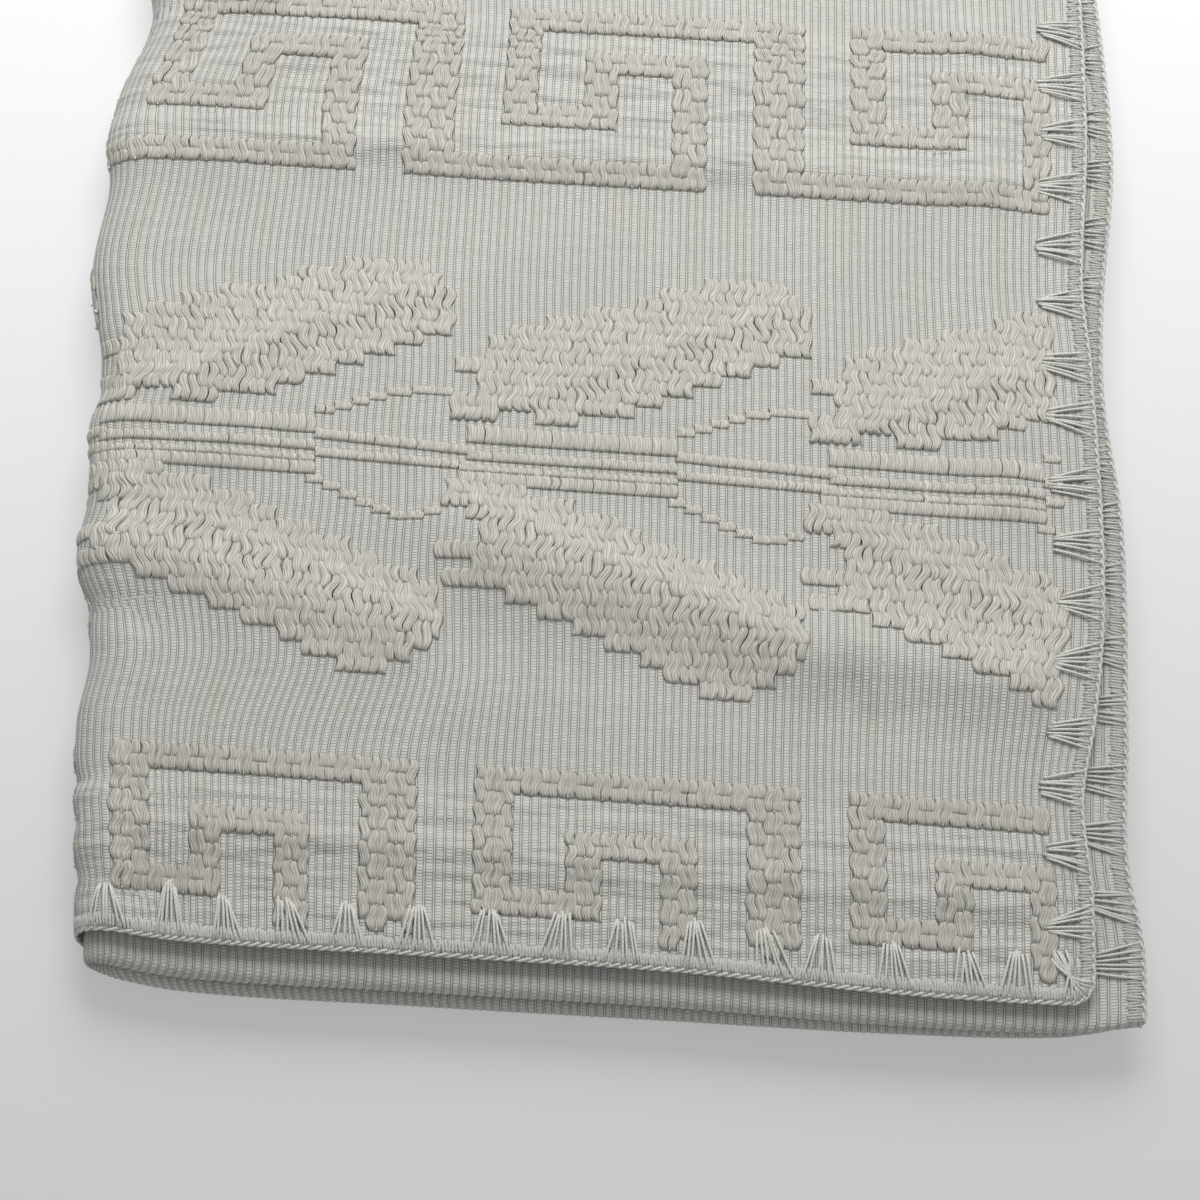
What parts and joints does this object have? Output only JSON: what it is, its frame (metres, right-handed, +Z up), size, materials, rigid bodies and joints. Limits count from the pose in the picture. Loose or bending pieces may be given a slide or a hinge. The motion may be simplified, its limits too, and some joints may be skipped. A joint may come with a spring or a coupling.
{
  "type": "folded chenille bedspread",
  "caption": "Ribbed cotton bedspread with raised yarn motifs and a crocheted edging, folded back and forth and then once across.",
  "frame": {"origin": "on the surface the pack lies on, under the middle of the pack", "axes": "+X from the folded side of the pack to its open side, +Y from its front to its back, +Z up"},
  "size_m": [0.3508, 0.4386, 0.0274],
  "materials": {
    "woven_cotton": "matte ribbed weave",
    "crochet_cotton": "soft twisted crochet cotton"
  },
  "bodies": {
    "root": {"bedspread": "woven_cotton", "crochet_edging": "crochet_cotton"}
  },
  "joints": []
}
